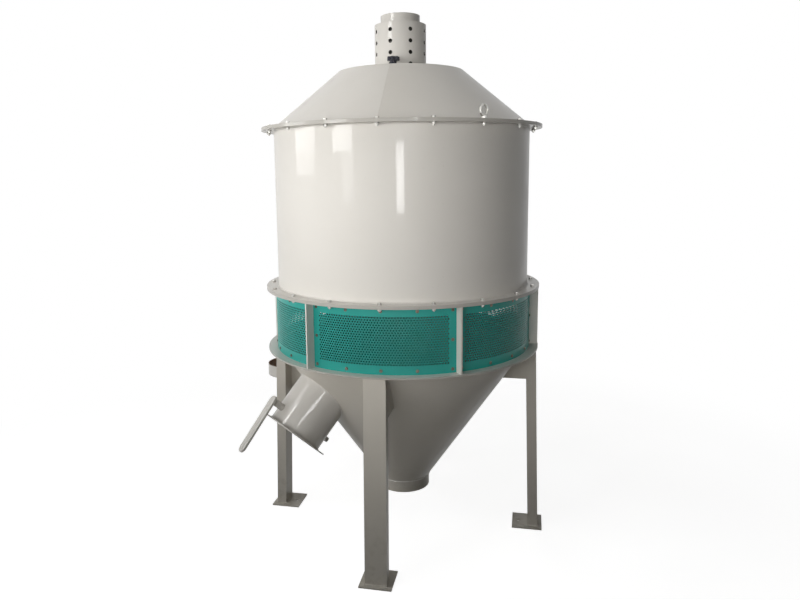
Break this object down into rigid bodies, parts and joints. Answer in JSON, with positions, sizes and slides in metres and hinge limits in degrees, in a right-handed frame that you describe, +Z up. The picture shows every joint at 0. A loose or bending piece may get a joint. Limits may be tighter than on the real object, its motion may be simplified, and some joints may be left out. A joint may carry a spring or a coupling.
{
  "type": "cyclone separator",
  "caption": "Upright round air separator for grain: feed pipe with a holed sleeve, cone roof, drum, green perforated air ring, cone hopper on legs, angled side spout with a hand damper.",
  "frame": {"origin": "on the floor under the drum's centre line, at the centre of the circle of foot bolt holes", "axes": "+Z up along the drum's centre line; -Y towards the front leg, in line with the locking knob; +X towards the right leg"},
  "size_m": [1.2349, 1.16, 2.052],
  "materials": {
    "light_grey_paint": "gloss",
    "green_paint": "satin",
    "zinc_plate": "satin",
    "black_plastic": "matte"
  },
  "bodies": {
    "separator": {"adjusting_sleeve": "light_grey_paint", "cone_front_right": "light_grey_paint", "cone_back_right": "light_grey_paint", "cone_back_left": "light_grey_paint", "cone_front_left": "light_grey_paint", "drum_shell": "light_grey_paint", "feed_pipe": "light_grey_paint", "foot_plate_back": "light_grey_paint", "foot_plate_front": "light_grey_paint", "foot_plate_left": "light_grey_paint", "foot_plate_right": "light_grey_paint", "gussets": "light_grey_paint", "hose_ring": "light_grey_paint", "knob_boss": "light_grey_paint", "leg_back": "light_grey_paint", "leg_front": "light_grey_paint", "leg_left": "light_grey_paint", "leg_right": "light_grey_paint", "lower_ring": "light_grey_paint", "screen_rails": "light_grey_paint", "middle_ring_over": "light_grey_paint", "middle_ring_under": "light_grey_paint", "outlet_neck": "light_grey_paint", "roof_cone": "light_grey_paint", "roof_plate": "light_grey_paint", "screen_posts": "light_grey_paint", "shaft_bosses": "light_grey_paint", "side_spout": "light_grey_paint", "spacer_bars": "light_grey_paint", "spout_ring": "light_grey_paint", "top_ring_over": "light_grey_paint", "top_ring_under": "light_grey_paint", "screen_front": "green_paint", "screen_front_right": "green_paint", "screen_back_right": "green_paint", "screen_back": "green_paint", "screen_back_left": "green_paint", "screen_front_left": "green_paint", "lifting_eye_left": "zinc_plate", "lifting_eye_right": "zinc_plate"},
    "damper": {"damper_blade": "light_grey_paint", "damper_shaft": "light_grey_paint", "damper_lever": "light_grey_paint"},
    "knob": {"locking_knob": "black_plastic"}
  },
  "joints": [
    {"name": "damper_turn", "type": "hinge", "parent": "separator", "child": "damper", "pos_m": [-0.33726, -0.32569, 0.49955], "axis": [-0.5304, -0.5122, 0.6756], "range_deg": [-8, 82]},
    {"name": "knob_turn", "type": "hinge", "parent": "separator", "child": "knob", "pos_m": [0, -0.148, 1.857], "axis": [0, 0, 1], "range_deg": [0, 270]}
  ]
}
